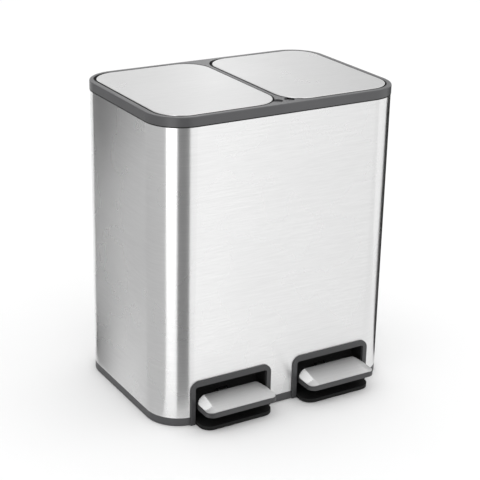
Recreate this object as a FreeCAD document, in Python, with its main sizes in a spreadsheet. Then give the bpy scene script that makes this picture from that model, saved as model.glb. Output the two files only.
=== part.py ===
# Double pedal recycling bin: two lidded compartments in one brushed steel shell.
#
# Frame: millimetres, +Z up, X to the right as seen from the front, Y to the back.
# The origin is on the floor, in the middle of the footprint that the body and the pedals
# take together.  Each lid opens on a pin at its back edge, and its pedal lifts it through a
# rocking lever and a push rod.

import FreeCAD, Part
import math
import os
import re
import Sketcher

LEFT = -1
RIGHT = 1
SIDES = {LEFT: "left", RIGHT: "right"}

# ---------------------------------------------------------------- driving dimensions

SIZES = {
    # steel body
    "body_width": 415,
    "body_depth": 282,
    "corner_radius": 54.5,
    "sheet_metal": 0.6,
    "shell_bottom": 13.8,
    "shell_top": 472.5,
    "slip_gap": 0.15,
    "lap_half": 7,
    # top rim
    "rim_top": 486,
    "rim_overhang": 0.5,
    "rim_wall": 2.8,
    "rim_plate": 3,
    "rim_edge_radius": 1.8,
    "skirt_bottom": 452,
    "skirt_wall": 2,
    "divider_width": 5.8,
    "divider_bottom": 462,
    "strip_width": 8,
    "opening_radius": 44,
    "opening_back_radius": 40,
    "shelf_top": 479.5,
    "shelf_thick": 2.5,
    "shelf_reach": 6,
    "notch_radius": 8,
    "notch_depth": 2,
    "notch_offset": 10,
    "notch_front": 122,
    # lids
    "lid_top": 487,
    "lid_gap": 2.4,
    "lid_back_gap": 4.4,
    "lid_edge": 3.4,
    "lid_edge_radius": 1.5,
    "core_plate": 3,
    "lip_bottom": 480.5,
    "lip_wall": 2,
    "lip_back": 100,
    # lid hinge
    "hinge_back": 118,
    "hinge_height": 482,
    "hinge_pin": 4,
    "hinge_boss": 8,
    "running_gap": 0.05,
    "ear_spacing": 112,
    "ear_thick": 5,
    "knuckle_spacing": 96,
    "lid_angle": 75,
    "pin_head": 7,
    "ear_gap": 0.4,
    # push rods
    "rod_diameter": 4,
    "rod_reach": 17.5,
    "rod_offset": 10.5,
    "rod_bend": 5,
    "hook_length": 9,
    "rod_low": 10,
    "clip_diameter": 9,
    "clip_thick": 1.2,
    # levers and pedal axles
    "pedal_spacing": 182,
    "axle_front": 58.5,
    "axle_height": 24,
    "axle_diameter": 6,
    "axle_length": 34,
    "lever_width": 14,
    "lever_metal": 1.5,
    "plate_low": 30,
    "plate_high": 32,
    # base moulding
    "foot_height": 1,
    "base_wall": 3,
    "deck_bottom": 44,
    "deck_top": 46.5,
    "tongue_width": 124,
    "tongue_front": 171,
    "tongue_top": 7,
    "tongue_radius": 18,
    "bay_half": 63,
    "bay_top": 65,
    "bay_back": 112.5,
    "bay_wall": 2.5,
    # trim frames round the pedals
    "trim_half": 71,
    "trim_top": 73,
    "trim_radius": 15,
    "trim_proud": 2.5,
    "trim_inner_top": 63.5,
    "trim_inner_radius": 4,
    "trim_flange": 1.8,
    # pedals
    "pedal_half": 61.5,
    "pedal_front": 183,
    "pedal_back": 137,
    "pedal_bottom": 28,
    "pedal_edge": 34.2,
    "pedal_radius": 13,
    "tread_half": 60.2,
    "tread_flat": 46,
    "tread_low": 36.6,
    "tread_high": 45.9,
    "tread_metal": 0.9,
    "tread_bend": 9,
    # buckets
    "bucket_bottom_width": 158,
    "bucket_bottom_depth": 188,
    "bucket_top_width": 170,
    "bucket_top_depth": 199.5,
    "bucket_wall": 1.8,
    "bucket_top": 452,
    "flange_width": 182.4,
    "flange_depth": 213.5,
    "flange_thick": 2.5,
    "bucket_back": 16.25,
    "bail_pin": 4,
    # rod channels
    "channel_width": 40,
    "channel_front": 93,
    "channel_back": 139.9,
    "channel_wall": 1.6,
    "channel_top": 448,
}

doc = FreeCAD.newDocument("double_recycling_bin")
sheet = doc.addObject("Spreadsheet::Sheet", "Sizes")
for row, (alias, value) in enumerate(SIZES.items(), start=1):
    sheet.set("A%d" % row, alias)
    sheet.set("B%d" % row, str(value))
    sheet.setAlias("B%d" % row, alias)
doc.recompute()

PIECES = []

# Formulas place everything from the centre of the steel body, and each piece is then moved
# back by this much, so that the origin is under the middle of the whole bin.
SHIFT = "(pedal_front - body_depth / 2 - rim_overhang) / 2"


def bound(text):
    """A formula in the names of the sheet, as an expression that points into it."""
    return re.sub(r"[a-z_]+", lambda m: "Sizes." + m[0] if m[0] in SIZES else m[0], str(text))


def value_of(text):
    """The number that a formula in the names of the sheet stands for."""
    result = sheet.evalExpression(str(text))
    return float(getattr(result, "Value", result))


# ---------------------------------------------------------------- sketches


def place(obj, x="0", y="0", z="0", prefix="Placement"):
    """Bind the position of an object to formulas."""
    for axis, text in zip("xyz", (x, y, z)):
        obj.setExpression("." + prefix + ".Base." + axis, bound(text))


def constrain(sketch, kind, parts, text):
    """Add a constraint and bind it to a formula."""
    index = sketch.addConstraint(Sketcher.Constraint(kind, *parts, value_of(text)))
    sketch.setExpression("Constraints[%d]" % index, bound(text))


def pin_point(sketch, geometry, end, x, y):
    """Hold one end of a line, or a centre, at a place given by two formulas."""
    origin = (-1, 1)
    for kind, text in (("DistanceX", x), ("DistanceY", y)):
        amount = value_of(text)
        if abs(amount) < 1e-9:
            shared = "Vertical" if kind == "DistanceX" else "Horizontal"
            sketch.addConstraint(Sketcher.Constraint(shared, -1, 1, geometry, end))
        elif amount > 0:
            constrain(sketch, kind, (*origin, geometry, end), text)
        else:
            constrain(sketch, kind, (geometry, end, *origin), "-(%s)" % text)


def rounded_box(width, depth, radius, back_radius=None):
    """Outline: a centred rectangle with round corners, those at the back of their own radius."""
    back_radius = back_radius or radius

    def draw(sketch):
        half_w = value_of(width) / 2
        half_d = value_of(depth) / 2
        r = value_of(radius)
        b = value_of(back_radius)
        first = sketch.GeometryCount
        corners = [
            (half_w, -half_d, r, -90),
            (half_w, half_d, b, 0),
            (-half_w, half_d, b, 90),
            (-half_w, -half_d, r, 180),
        ]
        straight = [
            ((-half_w + r, -half_d), (half_w - r, -half_d)),
            ((half_w, -half_d + r), (half_w, half_d - b)),
            ((half_w - b, half_d), (-half_w + b, half_d)),
            ((-half_w, half_d - b), (-half_w, -half_d + r)),
        ]
        for (x0, y0), (x1, y1) in straight:
            sketch.addGeometry(Part.LineSegment(FreeCAD.Vector(x0, y0, 0), FreeCAD.Vector(x1, y1, 0)))
        for x, y, bend, start in corners:
            centre = FreeCAD.Vector(x - math.copysign(bend, x), y - math.copysign(bend, y), 0)
            round_corner = Part.Circle(centre, FreeCAD.Vector(0, 0, 1), bend)
            sketch.addGeometry(Part.ArcOfCircle(round_corner, math.radians(start), math.radians(start + 90)))
        for side in range(4):
            line = first + side
            arc = first + 4 + side
            following = first + (side + 1) % 4
            sketch.addConstraint(Sketcher.Constraint("Tangent", line, 2, arc, 1))
            sketch.addConstraint(Sketcher.Constraint("Tangent", arc, 2, following, 1))
            sketch.addConstraint(Sketcher.Constraint("Horizontal" if side % 2 == 0 else "Vertical", line))
        sketch.addConstraint(Sketcher.Constraint("Equal", first + 4, first + 7))
        sketch.addConstraint(Sketcher.Constraint("Equal", first + 5, first + 6))
        constrain(sketch, "Radius", (first + 4,), radius)
        constrain(sketch, "Radius", (first + 5,), back_radius)
        constrain(sketch, "DistanceX", (-1, 1, first + 1, 1), "(%s) / 2" % width)
        constrain(sketch, "DistanceX", (first + 3, 1, -1, 1), "(%s) / 2" % width)
        constrain(sketch, "DistanceY", (-1, 1, first + 2, 1), "(%s) / 2" % depth)
        constrain(sketch, "DistanceY", (first, 1, -1, 1), "(%s) / 2" % depth)

    return draw


def box(x0, y0, x1, y1):
    """Outline: a rectangle between two corners."""
    return polygon([(x0, y0), (x1, y0), (x1, y1), (x0, y1)])


def polygon(points):
    """Outline: straight lines through the points."""

    def draw(sketch):
        first = sketch.GeometryCount
        places = [FreeCAD.Vector(value_of(x), value_of(y), 0) for x, y in points]
        count = len(places)
        for k in range(count):
            sketch.addGeometry(Part.LineSegment(places[k], places[(k + 1) % count]))
        for k in range(count):
            sketch.addConstraint(Sketcher.Constraint("Coincident", first + k, 2, first + (k + 1) % count, 1))
        for k, (x, y) in enumerate(points):
            pin_point(sketch, first + k, 1, x, y)

    return draw


def circle(diameter, x="0", y="0"):
    """Outline: a circle."""

    def draw(sketch):
        centre = FreeCAD.Vector(value_of(x), value_of(y), 0)
        shape = Part.Circle(centre, FreeCAD.Vector(0, 0, 1), value_of(diameter) / 2)
        index = sketch.addGeometry(shape)
        constrain(sketch, "Diameter", (index,), diameter)
        pin_point(sketch, index, 3, x, y)

    return draw


# ---------------------------------------------------------------- bodies and their features

# The direction that each origin plane faces, and the sign of its offset along that axis.
PLANES = {"top": ("XY_Plane", 1), "front": ("XZ_Plane", -1), "side": ("YZ_Plane", 1)}


def new_body(label, x="0", y="0", z="0"):
    body = doc.addObject("PartDesign::Body", label)
    body.Label = label
    body.AllowCompound = True
    place(body, x, "(%s) + %s" % (y, SHIFT), z)
    PIECES.append(body)
    return body


def sketch_on(body, plane, height, outlines, x="0", y="0"):
    """A sketch parallel to one of the body's own origin planes."""
    role, sign = PLANES[plane]
    sketch = body.newObject("Sketcher::SketchObject", body.Label + "_sketch")
    support = [item for item in body.Origin.OriginFeatures if item.Role == role][0]
    sketch.AttachmentSupport = [(support, "")]
    sketch.MapMode = "FlatFace"
    place(sketch, x, y, "%d * (%s)" % (sign, height), prefix="AttachmentOffset")
    for outline in outlines:
        outline(sketch)
    doc.recompute()
    return sketch


def pad(body, plane, start, end, *outlines, x="0", y="0"):
    """Material between two heights along the plane's axis."""
    sign = PLANES[plane][1]
    sketch = sketch_on(body, plane, start, outlines, x, y)
    feature = body.newObject("PartDesign::Pad", body.Label + "_pad")
    feature.Profile = sketch
    feature.setExpression("Length", bound("abs((%s) - (%s))" % (end, start)))
    feature.Reversed = (value_of(end) - value_of(start)) * sign < 0
    doc.recompute()
    return feature


def pocket(body, plane, start, end, *outlines, x="0", y="0"):
    """Material taken away between two heights along the plane's axis."""
    sign = PLANES[plane][1]
    before = body.Shape.Volume
    sketch = sketch_on(body, plane, start, outlines, x, y)
    feature = body.newObject("PartDesign::Pocket", body.Label + "_pocket")
    feature.Profile = sketch
    feature.setExpression("Length", bound("abs((%s) - (%s))" % (end, start)))
    feature.Reversed = (value_of(end) - value_of(start)) * sign > 0
    doc.recompute()
    if body.Shape.Volume > before - 1e-3:
        raise ValueError("%s: the pocket cuts nothing" % body.Label)
    return feature


def runs_along(edge, axis):
    """Whether a straight edge runs along one axis."""
    box_of_edge = edge.BoundBox
    lengths = {"x": box_of_edge.XLength, "y": box_of_edge.YLength, "z": box_of_edge.ZLength}
    return lengths.pop(axis) > 1e-3 and max(lengths.values()) < 1e-3


def edges_where(shape, test, along=None):
    """Names of the edges whose vertices all pass the test."""
    found = []
    for number, edge in enumerate(shape.Edges, start=1):
        passes = all(test(vertex.Point) for vertex in edge.Vertexes)
        if passes and (along is None or runs_along(edge, along)):
            found.append("Edge%d" % number)
    return found


def fillet(body, radius, test, along=None):
    """Round the edges of the body that pass the test."""
    base = body.Tip
    feature = body.newObject("PartDesign::Fillet", body.Label + "_fillet")
    feature.Base = (base, edges_where(base.Shape, test, along))
    feature.setExpression("Radius", bound(radius))
    doc.recompute()
    return feature


def near(a, b):
    return abs(a - b) < 1e-4


# ---------------------------------------------------------------- plain solids and groups


def bar(name, diameter, length, x, y, z):
    """A round bar along X that starts at x."""
    cylinder = doc.addObject("Part::Cylinder", name)
    cylinder.setExpression("Radius", bound("(%s) / 2" % diameter))
    cylinder.setExpression("Height", bound(length))
    cylinder.Placement = FreeCAD.Placement(FreeCAD.Vector(), FreeCAD.Rotation(FreeCAD.Vector(0, 1, 0), 90))
    place(cylinder, x, y, z)
    return cylinder


def post(name, diameter, height, x, y, z):
    """An upright round bar."""
    cylinder = doc.addObject("Part::Cylinder", name)
    cylinder.setExpression("Radius", bound("(%s) / 2" % diameter))
    cylinder.setExpression("Height", bound(height))
    place(cylinder, x, y, z)
    return cylinder


def block(name, width, depth, height, x, y, z):
    """A block centred on x and y, standing on z."""
    brick = doc.addObject("Part::Box", name)
    for side, text in (("Length", width), ("Width", depth), ("Height", height)):
        brick.setExpression(side, bound(text))
    place(brick, "(%s) - (%s) / 2" % (x, width), "(%s) - (%s) / 2" % (y, depth), z)
    return brick


def joined(label, parts, keep=False):
    """One piece, or a group of like pieces, from several solids."""
    union = doc.addObject("Part::MultiFuse", label)
    union.Shapes = parts
    union.Label = label
    if not keep:
        place(union, y=SHIFT)
        PIECES.append(union)
    return union


def without(label, base, tool, keep=False):
    """The base with the tool taken away."""
    cut = doc.addObject("Part::Cut", label)
    cut.Base = base
    cut.Tool = tool
    cut.Label = label
    if not keep:
        place(cut, y=SHIFT)
        PIECES.append(cut)
    return cut


def named(label, side):
    return "%s_%s" % (label, SIDES[side])


def pedal_x(side):
    return "%d * pedal_spacing / 2" % side


# The lids and their openings share one centre line on each side.
OPENING_WIDTH = "(body_width / 2 - strip_width - divider_width / 2)"
OPENING_DEPTH = "(body_depth - 2 * strip_width)"
LID_WIDTH = "(%s - 2 * lid_gap)" % OPENING_WIDTH
LID_DEPTH = "(%s - lid_gap - lid_back_gap)" % OPENING_DEPTH
LID_Y = "((lid_gap - lid_back_gap) / 2)"
LID_RADIUS = "(opening_radius - lid_gap)"


# A push rod moves straight up and down here; its upper hook starts at this height.
ROD_Y = "(hinge_back - rod_reach)"
ROD_HIGH = "(hinge_height - rod_reach * tan(lid_angle / 2))"


def lid_x(side):
    return "%d * (divider_width / 2 + %s / 2)" % (side, OPENING_WIDTH)


def lap_groove(body, low, high):
    """Room for the lapped seam of the shell in a wall that stands inside it."""
    pocket(body, "top", high, low,
           box("-lap_half - 0.4", "body_depth / 2 - 1.6", "lap_half + 0.4", "body_depth / 2"))


# ---------------------------------------------------------------- steel shell


def outer_shell():
    """Brushed sheet rolled into a tube, with a lapped seam at the back and two pedal cut-outs."""
    body = new_body("outer_shell")
    inner = ("body_width - 2 * sheet_metal", "body_depth - 2 * sheet_metal", "corner_radius - sheet_metal")
    pad(body, "top", "shell_bottom", "shell_top",
        rounded_box("body_width", "body_depth", "corner_radius"), rounded_box(*inner))
    pad(body, "top", "shell_bottom", "shell_top",
        box("-lap_half", "body_depth / 2 - 2 * sheet_metal + 0.1",
            "lap_half", "body_depth / 2 - sheet_metal / 2"))
    pocket(body, "top", "shell_top", "shell_bottom",
           box("-0.3", "body_depth / 2 - 0.3", "0.3", "body_depth / 2 + 1"))
    hole_half = "(bay_half + trim_flange + 0.4)"
    hole_top = "(trim_inner_top + trim_flange + 0.4)"
    for side in SIDES:
        pocket(body, "front", "-body_depth / 2 - 1", "-body_depth / 2 + 4",
               box("-" + hole_half, "5", hole_half, hole_top), x=pedal_x(side))


# ---------------------------------------------------------------- top rim


def top_rim():
    """Moulded frame: outer wall, top plate with two openings, shelf for the lids and hinge ears."""
    body = new_body("top_rim")
    width = "body_width + 2 * rim_overhang"
    depth = "body_depth + 2 * rim_overhang"
    pad(body, "top", "shell_top", "rim_top", rounded_box(width, depth, "corner_radius + rim_overhang"))
    top = value_of("rim_top")
    fillet(body, "rim_edge_radius", lambda p: near(p.z, top))
    inset = "(rim_wall - rim_overhang)"
    pocket(body, "top", "rim_top - rim_plate", "shell_top",
           rounded_box("body_width - 2 * " + inset, "body_depth - 2 * " + inset, "corner_radius - " + inset))
    slip = "(sheet_metal + slip_gap)"
    skirt = "(sheet_metal + slip_gap + skirt_wall)"
    pad(body, "top", "skirt_bottom", "shell_top + 2",
        rounded_box("body_width - 2 * " + slip, "body_depth - 2 * " + slip, "corner_radius - " + slip),
        rounded_box("body_width - 2 * " + skirt, "body_depth - 2 * " + skirt, "corner_radius - " + skirt))
    lap_groove(body, "skirt_bottom - 1", "shell_top")
    wall = "1.8"
    opening = (OPENING_WIDTH, OPENING_DEPTH, "opening_radius", "opening_back_radius")
    for side in SIDES:
        # the wall round the opening, and the shelf that the lid lands on
        pad(body, "top", "shelf_top - shelf_thick", "rim_top - 1",
            rounded_box(OPENING_WIDTH + " + 2 * " + wall, OPENING_DEPTH + " + 2 * " + wall,
                        "opening_radius + " + wall, "opening_back_radius + " + wall),
            rounded_box(*opening), x=lid_x(side))
        pad(body, "top", "shelf_top - shelf_thick", "shelf_top",
            rounded_box(OPENING_WIDTH + " + 1", OPENING_DEPTH + " + 1",
                        "opening_radius + 0.5", "opening_back_radius + 0.5"),
            rounded_box(OPENING_WIDTH + " - 2 * shelf_reach", OPENING_DEPTH + " - 2 * shelf_reach",
                        "opening_radius - shelf_reach", "opening_back_radius - shelf_reach"), x=lid_x(side))
    for side in SIDES:
        pocket(body, "top", "rim_top", "shelf_top", rounded_box(*opening), x=lid_x(side))
        # room for the hinge behind the lid
        pocket(body, "top", "rim_top - rim_plate", "skirt_bottom - 1",
               rounded_box("164", "36", "16"), x=lid_x(side), y="114")
    pad(body, "top", "divider_bottom", "rim_top - 1",
        box("-divider_width / 2", "-body_depth / 2 + 3", "divider_width / 2", "body_depth / 2 - 3"))
    for side in SIDES:
        pocket(body, "top", "rim_top", "rim_top - notch_depth",
               circle("2 * notch_radius", "%d * notch_offset" % side, "-notch_front"))
        for place_on_pin in (-1, 1):
            middle = "%s + %d * ear_spacing / 2" % (lid_x(side), place_on_pin)
            start = middle + " - ear_thick / 2"
            end = middle + " + ear_thick / 2"
            half = "hinge_boss / 2"
            pad(body, "side", start, end, polygon([
                ("hinge_back - " + half, "hinge_height"),
                ("hinge_back - " + half, "skirt_bottom"),
                ("body_depth / 2 - 2", "skirt_bottom"),
                ("body_depth / 2 - 2", "skirt_bottom + 9"),
                ("hinge_back + 1.5", "skirt_bottom + 16"),
                ("hinge_back + 1.5", "hinge_height")]))
            pad(body, "side", start, end, circle("hinge_boss", "hinge_back", "hinge_height"))
            pocket(body, "side", start, end,
                   circle("hinge_pin + 2 * running_gap", "hinge_back", "hinge_height"))


def lid_bumpers():
    """Rubber dots on the shelf, two in front of each lid."""
    dots = []
    for side in SIDES:
        for across in (-1, 1):
            dots.append(block("bumper", "14", "2.6", "0.9", "%s + %d * 40" % (lid_x(side), across),
                              "-%s / 2 + lid_gap + 1.7" % OPENING_DEPTH, "shelf_top"))
    joined("lid_bumpers", dots)


# ---------------------------------------------------------------- lids


def lid_panel(side):
    """Brushed steel skin with its edge rolled down."""
    body = new_body(named("lid_panel", side), x=lid_x(side), y=LID_Y)
    pad(body, "top", "lid_top - lid_edge", "lid_top", rounded_box(LID_WIDTH, LID_DEPTH, LID_RADIUS))
    top = value_of("lid_top")
    fillet(body, "lid_edge_radius", lambda p: near(p.z, top))
    pocket(body, "top", "lid_top - sheet_metal", "lid_top - lid_edge",
           rounded_box(LID_WIDTH + " - 2 * sheet_metal", LID_DEPTH + " - 2 * sheet_metal",
                       LID_RADIUS + " - sheet_metal"))


def lid_core(side):
    """Moulded inner lid: plate, lip, two knuckles and the arm that the push rod lifts."""
    body = new_body(named("lid_core", side), x=lid_x(side))
    inset = "(sheet_metal + 0.05)"
    width = LID_WIDTH + " - 2 * " + inset
    depth = LID_DEPTH + " - 2 * " + inset
    radius = LID_RADIUS + " - " + inset
    plate_top = "lid_top - sheet_metal"
    plate_bottom = plate_top + " - core_plate"
    pad(body, "top", plate_bottom, plate_top, rounded_box(width, depth, radius), y=LID_Y)
    pad(body, "top", "lip_bottom", plate_bottom + " + 1",
        rounded_box(width, depth, radius),
        rounded_box(width + " - 2 * lip_wall", depth + " - 2 * lip_wall", radius + " - lip_wall"), y=LID_Y)
    pocket(body, "top", plate_bottom, "lip_bottom", box("-120", "lip_back", "120", "lip_back + 60"))
    # windows over the ears of the rim, open to the back
    for place_on_pin in (-1, 1):
        middle = "%d * ear_spacing / 2" % place_on_pin
        inner = "%s - %d * (ear_thick / 2 + 1)" % (middle, place_on_pin)
        outer = "%s + %d * (ear_thick / 2 + 3.2)" % (middle, place_on_pin)
        pocket(body, "top", plate_top, "lip_bottom", box(inner, "hinge_back - 5", outer, "body_depth / 2"))
    # stiffening ribs under the plate
    for across in (-60, 0, 60):
        pad(body, "top", plate_bottom + " - 2", plate_bottom + " + 1",
            box(across - 1, "-126", across + 1, "96"))
    half = "hinge_boss / 2"
    for place_on_pin in (-1, 1):
        start = "%d * knuckle_spacing / 2 - 2.5" % place_on_pin
        end = "%d * knuckle_spacing / 2 + 2.5" % place_on_pin
        pad(body, "side", start, end, circle("hinge_boss", "hinge_back", "hinge_height"))
        pad(body, "side", start, end,
            box("hinge_back - " + half, "hinge_height", "hinge_back + 4", plate_bottom + " + 1"))
    # the drive arm stands over the lever, with a slot that points at the pin
    arm_x = "%d * pedal_spacing / 2 - %s" % (side, lid_x(side))
    start = arm_x + " - 2"
    end = arm_x + " + 2"
    drop = value_of("lid_angle") / 2
    pad(body, "side", start, end, circle("hinge_boss", "hinge_back", "hinge_height"))

    def on_arm(along, across):
        """A point by its distance from the pin along the arm, and across it."""
        c = "cos(%s)" % drop
        s = "sin(%s)" % drop
        return ("hinge_back - (%s) * %s + (%s) * %s" % (along, c, across, s),
                "hinge_height - (%s) * %s - (%s) * %s" % (along, s, across, c))

    tip = "rod_reach + 9.5"
    pad(body, "side", start, end, polygon([
        on_arm("0", half), on_arm(tip, "5.6"), on_arm(tip, "-5.6"),
        ("hinge_back - 24", plate_bottom + " + 1"),
        ("hinge_back", plate_bottom + " + 1")]))
    slot_half = "3.1"
    pocket(body, "side", start, end, polygon([
        on_arm("rod_reach - 2.6", slot_half), on_arm("rod_reach + 6.8", slot_half),
        on_arm("rod_reach + 6.8", "-" + slot_half), on_arm("rod_reach - 2.6", "-" + slot_half)]))
    pocket(body, "side", "-ear_spacing / 2", "ear_spacing / 2",
           circle("hinge_pin", "hinge_back", "hinge_height"))


def pin_end(side, outward):
    """Just past the outside of an ear: outward is 1 at the end away from the divider, else -1."""
    return "%s + %d * (ear_spacing / 2 + ear_thick / 2 + ear_gap)" % (lid_x(side), side * outward)


def hinge_pin(side):
    """Steel pin with a head at its inner end; it turns with the lid."""
    reach = "(ear_spacing / 2 + ear_thick / 2 + ear_gap + 2)"
    shank = bar("shank", "hinge_pin", "2 * " + reach, "%s - %s" % (lid_x(side), reach),
                "hinge_back", "hinge_height")
    head_start = pin_end(side, -1) + (" - 2" if side > 0 else "")
    head = bar("head", "pin_head", "2", head_start, "hinge_back", "hinge_height")
    joined(named("hinge_pin", side), [shank, head])


def hinge_clip(side):
    """Push-on ring at the outer end of the pin."""
    start = pin_end(side, 1) + ("" if side > 0 else " - clip_thick")
    disc = bar("ring", "pin_head", "clip_thick", start, "hinge_back", "hinge_height")
    hole = bar("ring_hole", "hinge_pin", "clip_thick + 2", start + " - 1", "hinge_back", "hinge_height")
    without(named("hinge_clip", side), disc, hole)


# ---------------------------------------------------------------- base


def base():
    """Moulded base: flush ring, raised deck, floor tongues, pedal bays and the seats of the axles."""
    body = new_body("base")
    pad(body, "top", "foot_height", "shell_bottom", rounded_box("body_width", "body_depth", "corner_radius"))
    slip = "(sheet_metal + slip_gap)"
    pad(body, "top", "shell_bottom - 1", "deck_top",
        rounded_box("body_width - 2 * " + slip, "body_depth - 2 * " + slip, "corner_radius - " + slip))
    pocket(body, "top", "deck_bottom", "foot_height",
           rounded_box("body_width - 2 * base_wall", "body_depth - 2 * base_wall",
                       "corner_radius - base_wall"))
    lap_groove(body, "shell_bottom", "deck_top + 1")
    for side in SIDES:
        x = pedal_x(side)
        tongue_back = "(bay_back - 8)"
        pad(body, "top", "foot_height", "tongue_top",
            rounded_box("tongue_width", "tongue_front - " + tongue_back, "tongue_radius"),
            x=x, y="-(tongue_front + %s) / 2" % tongue_back)
        bay_outer = "(bay_half + bay_wall + 1)"
        bay_low = "(tongue_top - 1)"
        front = "-(body_depth / 2 - 3.1)"
        pad(body, "front", front, "-bay_back + bay_wall",
            box("-" + bay_outer, bay_low, bay_outer, "bay_top + bay_wall"), x=x)
        pocket(body, "front", "-body_depth / 2 - 1", front,
               box("-(bay_half + trim_flange + 0.4)", "tongue_top", "bay_half + trim_flange + 0.4",
                   "bay_top + bay_wall"), x=x)
        pocket(body, "front", "-body_depth / 2 - 1", "-bay_back",
               box("-bay_half", "tongue_top", "bay_half", "bay_top"), x=x)
        # the lever goes through the back wall of the bay
        pocket(body, "front", "-bay_back - 1", "-bay_back + bay_wall + 1",
               box("-lever_width / 2 - 3", "tongue_top + 5", "lever_width / 2 + 3", "deck_bottom - 9"), x=x)
        # two ears under the deck hold the axle
        for ear in (-1, 1):
            middle = "%s + %d * (lever_width / 2 + 4)" % (x, ear)
            pad(body, "side", middle + " - 2", middle + " + 2", polygon([
                ("-axle_front - 12", "deck_bottom + 1"), ("-axle_front - 8", "axle_height"),
                ("-axle_front + 8", "axle_height"), ("-axle_front + 12", "deck_bottom + 1")]))
            pad(body, "side", middle + " - 2", middle + " + 2", circle("16", "-axle_front", "axle_height"))
            pocket(body, "side", middle + " - 2", middle + " + 2",
                   circle("axle_diameter", "-axle_front", "axle_height"))
        # the push rod passes the deck here
        pocket(body, "top", "deck_top", "deck_bottom",
               box("rod_offset - 6", ROD_Y + " - 5", "rod_offset + 6", ROD_Y + " + 5"), x=x)
        for across in ("-50", "50"):
            pad(body, "top", "deck_bottom - 12", "deck_bottom + 1",
                box("%s - 1.1" % across, "-bay_back + 6", "%s + 1.1" % across, "body_depth / 2 - 2"), x=x)
    # lands in the four corners for the rubber feet
    for across in (-1, 1):
        for along in (-1, 1):
            pad(body, "top", "foot_height", "foot_height + 2.5",
                circle("36", "%d * (body_width / 2 - 29)" % across, "%d * (body_depth / 2 - 29)" % along))


def rubber_feet():
    """Non-slip pads: four discs in the corners and a strip under each tongue."""
    pads = []
    for across in (-1, 1):
        for along in (-1, 1):
            pads.append(post("disc", "22", "foot_height", "%d * (body_width / 2 - 29)" % across,
                             "%d * (body_depth / 2 - 29)" % along, "0"))
    for side in SIDES:
        pads.append(block("strip", "70", "9", "foot_height", pedal_x(side), "-tongue_front + 12", "0"))
    joined("rubber_feet", pads)


def pedal_surround(side):
    """Arched trim frame over the cut edge of the steel, with a flange that goes through it."""
    body = new_body(named("pedal_surround", side), x=pedal_x(side), y="-body_depth / 2")
    low = "foot_height"
    flange_low = "(tongue_top + 0.2)"
    arch = [("-trim_half", low), ("-trim_half", "trim_top"), ("trim_half", "trim_top"), ("trim_half", low),
            ("bay_half", low), ("bay_half", "trim_inner_top"),
            ("-bay_half", "trim_inner_top"), ("-bay_half", low)]
    outer = "bay_half + trim_flange"
    flange = [("-(%s)" % outer, flange_low), ("-(%s)" % outer, "trim_inner_top + trim_flange"),
              (outer, "trim_inner_top + trim_flange"), (outer, flange_low), ("bay_half", flange_low),
              ("bay_half", "trim_inner_top"), ("-bay_half", "trim_inner_top"), ("-bay_half", flange_low)]
    pad(body, "front", "-0.05", "-trim_proud", polygon(arch))
    half = value_of("trim_half")
    top = value_of("trim_top")
    fillet(body, "trim_radius", lambda p: near(abs(p.x), half) and near(p.z, top), along="y")
    front = -value_of("trim_proud")
    fillet(body, "0.9", lambda p: near(p.y, front) and (p.z > top - 0.1 or near(abs(p.x), half)))
    pad(body, "front", "-0.2", "2.3", polygon(flange))
    inner = value_of("bay_half")
    inner_top = value_of("trim_inner_top")
    fillet(body, "trim_inner_radius", lambda p: near(abs(p.x), inner) and near(p.z, inner_top), along="y")


# ---------------------------------------------------------------- pedals


def section(name, y, points):
    """A closed section across the pedal, standing at y."""
    sketch = doc.addObject("Sketcher::SketchObject", name)
    turn = FreeCAD.Rotation(FreeCAD.Vector(1, 0, 0), 90)
    sketch.Placement = FreeCAD.Placement(FreeCAD.Vector(), turn)
    place(sketch, y=y)
    polygon(points)(sketch)
    return sketch


def wedge(name, front, back, low, high_front, high_back, edge, flat, half):
    """Hipped solid: flat top that rises to the back, with a facet down to the edge on each side."""
    sections = []
    for label, y, high in (("front", front, high_front), ("back", back, high_back)):
        points = [("-(%s)" % half, low), (half, low), (half, edge), (flat, high), ("-(%s)" % flat, high),
                  ("-(%s)" % half, edge)]
        sections.append(section(name + "_" + label, y, points))
    loft = doc.addObject("Part::Loft", name)
    loft.Sections = sections
    loft.Solid = True
    loft.Ruled = True
    return loft


def plan_prism(name, half, front, back, low, high, radius):
    """Upright prism with a round-cornered plan."""
    sketch = doc.addObject("Sketcher::SketchObject", name + "_plan")
    rounded_box("2 * (%s)" % half, "(%s) - (%s)" % (back, front), radius)(sketch)
    place(sketch, y="((%s) + (%s)) / 2" % (back, front), z=low)
    prism = doc.addObject("Part::Extrusion", name)
    prism.Base = sketch
    prism.Dir = FreeCAD.Vector(0, 0, 1)
    prism.Solid = True
    prism.setExpression("LengthFwd", bound("(%s) - (%s)" % (high, low)))
    return prism


def common(label, first, second):
    both = doc.addObject("Part::MultiCommon", label)
    both.Shapes = [first, second]
    return both


def rounded_bends(name, base, radius, flat):
    """Round the two long bends of a wedge."""
    doc.recompute()
    half = value_of(flat)
    numbers = []
    for number, edge in enumerate(base.Shape.Edges, start=1):
        if all(near(abs(vertex.X), half) for vertex in edge.Vertexes) and edge.BoundBox.YLength > 10:
            numbers.append((number, value_of(radius), value_of(radius)))
    fillets = doc.addObject("Part::Fillet", name)
    fillets.Base = base
    fillets.Edges = numbers
    doc.recompute()
    return fillets


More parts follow.
